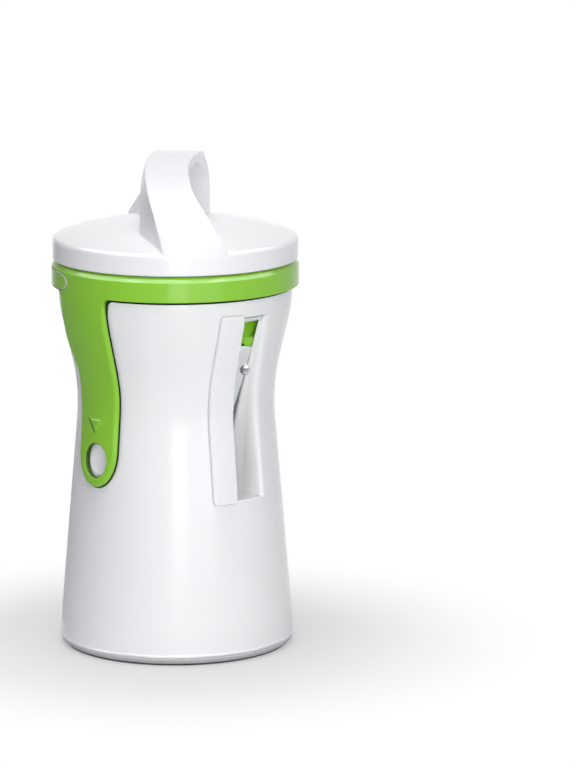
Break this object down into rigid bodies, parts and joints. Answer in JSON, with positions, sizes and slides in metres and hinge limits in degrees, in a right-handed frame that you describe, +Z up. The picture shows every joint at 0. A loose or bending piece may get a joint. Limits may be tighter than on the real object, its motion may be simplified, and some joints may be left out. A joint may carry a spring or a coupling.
{
  "type": "handheld spiralizer",
  "caption": "Hourglass vegetable spiralizer with a side exit window, a green collar with two arms, and a domed turning cap with a twisted handle and prongs.",
  "frame": {"origin": "centre of the base, on the surface that the part stands on", "axes": "+Z up along the body's axis; the exit window faces -Y; the arms and release buttons lie at -X and +X"},
  "size_m": [0.089, 0.089, 0.1794],
  "materials": {
    "white_plastic": "smooth gloss white plastic",
    "green_plastic": "smooth gloss lime green plastic",
    "dark_rubber": "matt dark rubber",
    "blade_steel": "finely brushed stainless steel",
    "fastener_steel": "plain bright steel"
  },
  "bodies": {
    "body": {"body_shell": "white_plastic", "exit_guard": "white_plastic", "collar_frame": "green_plastic", "side_plate_left": "green_plastic", "side_plate_right": "green_plastic", "feed_cone": "green_plastic", "slicing_blade": "blade_steel", "comb_blade": "blade_steel", "blade_screw_lower": "fastener_steel", "blade_screw_upper": "fastener_steel", "comb_screw_lower": "fastener_steel", "comb_screw_upper": "fastener_steel", "button_spring_left": "fastener_steel", "button_spring_right": "fastener_steel", "button_carrier_left": "white_plastic", "button_carrier_right": "white_plastic", "carrier_screw_left_front": "fastener_steel", "carrier_screw_left_back": "fastener_steel", "carrier_screw_right_front": "fastener_steel", "carrier_screw_right_back": "fastener_steel", "foot_ring": "dark_rubber"},
    "cap_guide": {"guide_ring": "white_plastic"},
    "turning_cap": {"cap": "white_plastic", "prong_plate": "white_plastic", "cap_screw": "fastener_steel", "prong_1": "blade_steel", "prong_2": "blade_steel", "prong_3": "blade_steel", "prong_4": "blade_steel", "prong_5": "blade_steel", "prong_6": "blade_steel"},
    "left_button": {"release_button_left": "white_plastic"},
    "right_button": {"release_button_right": "white_plastic"}
  },
  "joints": [
    {"name": "cap_lift", "type": "slide", "parent": "body", "child": "cap_guide", "axis": [0, 0, 1], "range_m": [0, 0.08]},
    {"name": "cap_twist", "type": "hinge", "parent": "cap_guide", "child": "turning_cap", "pos_m": [0, 0, 0.1413], "axis": [0, 0, 1], "continuous": true},
    {"name": "left_button_press", "type": "slide", "parent": "body", "child": "left_button", "axis": [1, 0, 0], "range_m": [0, 0.002], "stiffness_N_per_m": 800, "springref_m": -0.001, "deforming": ["button_spring_left"]},
    {"name": "right_button_press", "type": "slide", "parent": "body", "child": "right_button", "axis": [-1, 0, 0], "range_m": [0, 0.002], "stiffness_N_per_m": 800, "springref_m": -0.001, "deforming": ["button_spring_right"]}
  ]
}
